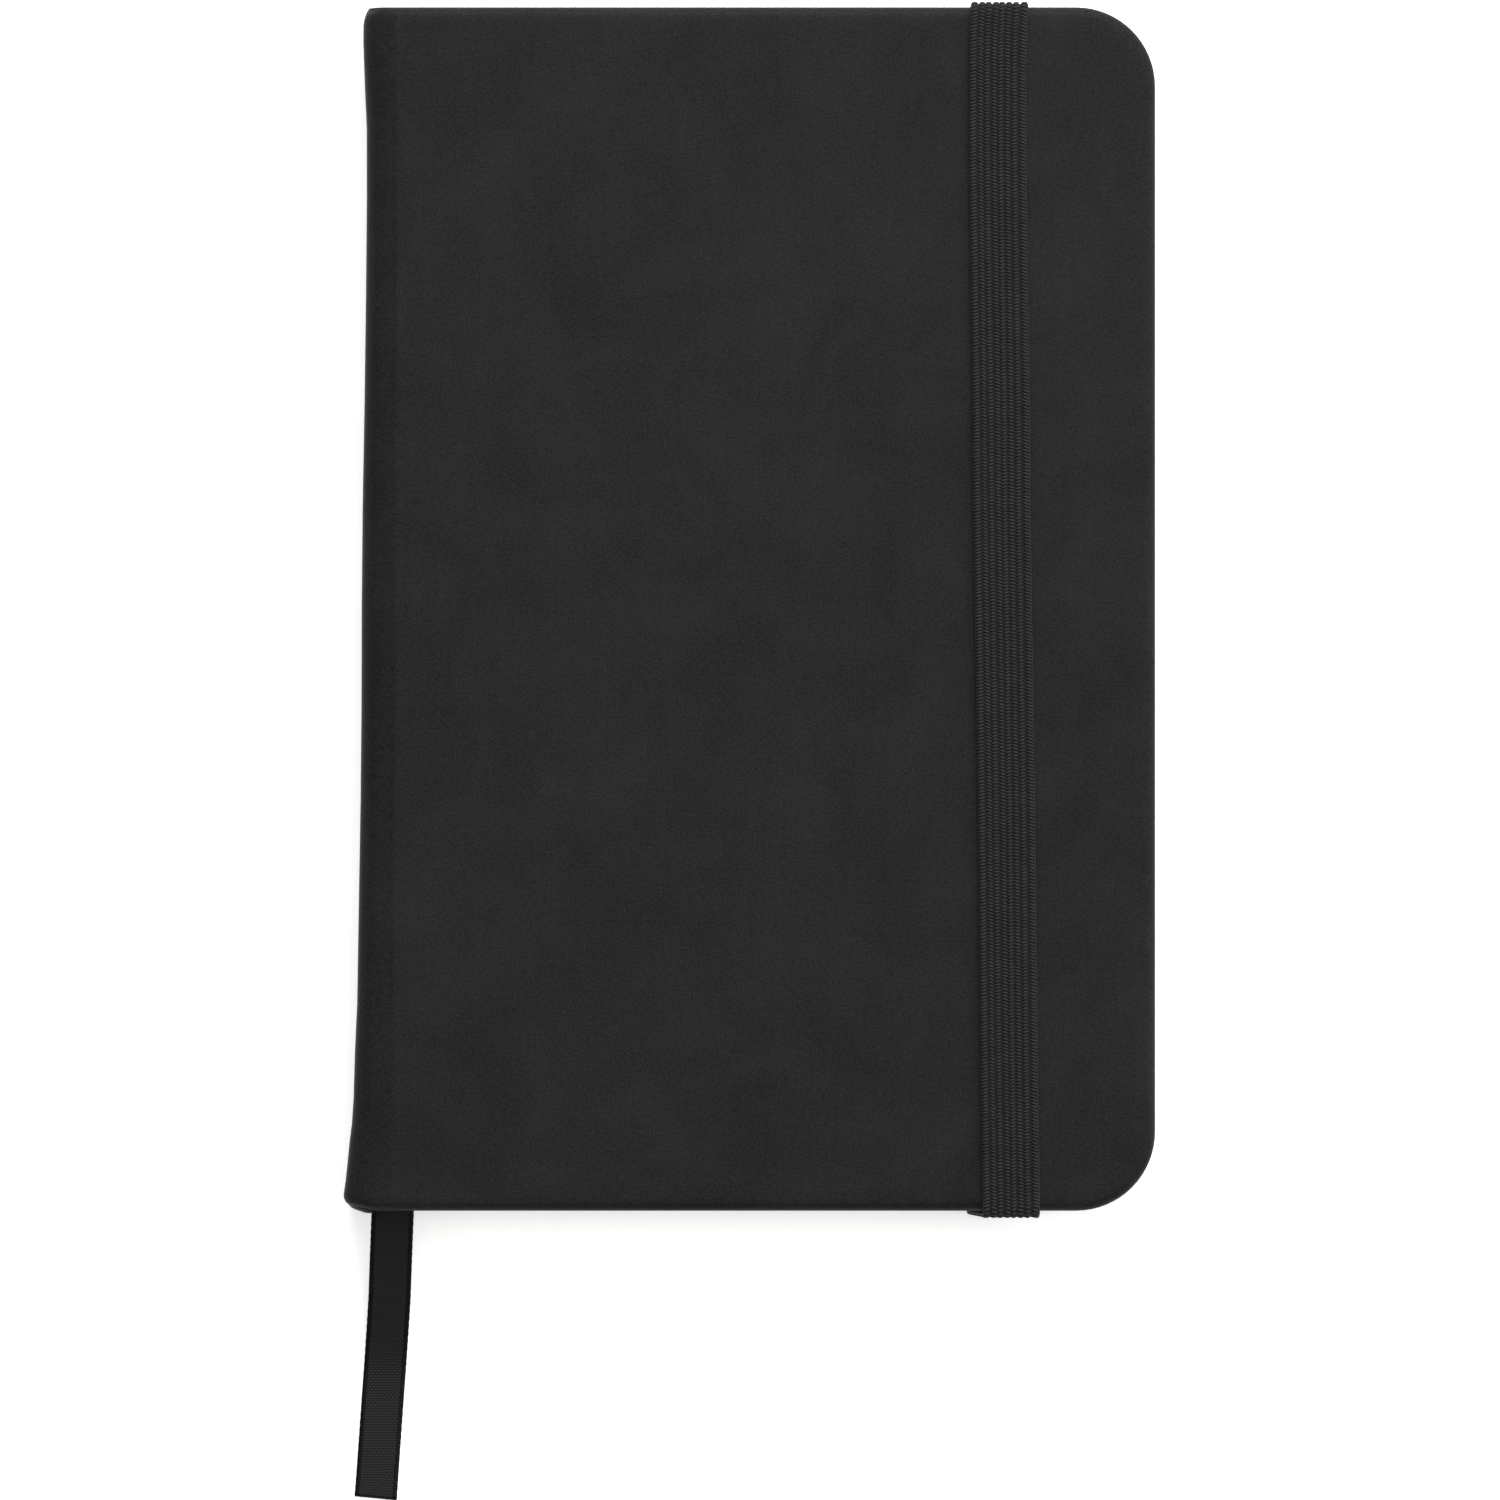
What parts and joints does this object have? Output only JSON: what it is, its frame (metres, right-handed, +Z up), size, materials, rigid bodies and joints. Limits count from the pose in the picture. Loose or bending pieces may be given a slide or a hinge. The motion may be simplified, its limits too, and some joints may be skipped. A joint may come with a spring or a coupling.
{
  "type": "pocket notebook",
  "caption": "Closed hardback pocket notebook with soft black cover, rounded fore-edge corners, a vertical elastic closure over the front and a ribbon marker trailing from the tail.",
  "frame": {"origin": "middle of the back cover's outer face, where the notebook rests on a table", "axes": "+Z up through the leaves to the front cover, +Y towards the head, +X towards the fore edge, so the spine is at -X"},
  "size_m": [0.0933, 0.1743, 0.0148],
  "materials": {
    "black_coated_cloth": "satin",
    "grey_board": "matte",
    "ivory_endpaper": "matte",
    "ivory_page": "matte",
    "white_mull": "matte",
    "white_thread": "matte",
    "black_elastic": "matte",
    "black_ribbon": "satin"
  },
  "bodies": {
    "back_cover": {"back_cover_skin": "black_coated_cloth", "back_board": "grey_board", "back_pastedown": "ivory_endpaper", "back_flyleaf": "ivory_endpaper", "page_section_01": "ivory_page", "page_section_02": "ivory_page", "page_section_03": "ivory_page", "page_section_04": "ivory_page", "page_section_05": "ivory_page", "spine_skin_lower": "black_coated_cloth", "spine_lining_lower": "white_mull", "sewing_thread_lower_1": "white_thread", "sewing_thread_lower_2": "white_thread", "sewing_thread_lower_3": "white_thread", "elastic_head_end": "black_elastic", "elastic_tail_end": "black_elastic", "ribbon_bookmark": "black_ribbon"},
    "front_leaves": {"page_section_06": "ivory_page", "page_section_07": "ivory_page", "page_section_08": "ivory_page", "page_section_09": "ivory_page", "page_section_10": "ivory_page", "front_flyleaf": "ivory_endpaper", "spine_skin_upper": "black_coated_cloth", "spine_lining_upper": "white_mull", "sewing_thread_upper_1": "white_thread", "sewing_thread_upper_2": "white_thread", "sewing_thread_upper_3": "white_thread"},
    "front_cover": {"front_cover_skin": "black_coated_cloth", "front_board": "grey_board", "front_pastedown": "ivory_endpaper"},
    "elastic": {"elastic_band": "black_elastic"}
  },
  "joints": [
    {"name": "front_cover_hinge", "type": "hinge", "parent": "front_leaves", "child": "front_cover", "pos_m": [-0.042, 0, 0.0146], "axis": [0, -1, 0], "range_deg": [0, 179.5]},
    {"name": "middle_opening", "type": "hinge", "parent": "back_cover", "child": "front_leaves", "pos_m": [-0.0463, 0, 0.007], "axis": [0, -1, 0], "range_deg": [0, 179.5]},
    {"name": "elastic_swing", "type": "hinge", "parent": "back_cover", "child": "elastic", "pos_m": [0.0286, 0, 0.007], "axis": [0, 1, 0], "range_deg": [0, 180], "deforming": ["elastic_band"]}
  ]
}
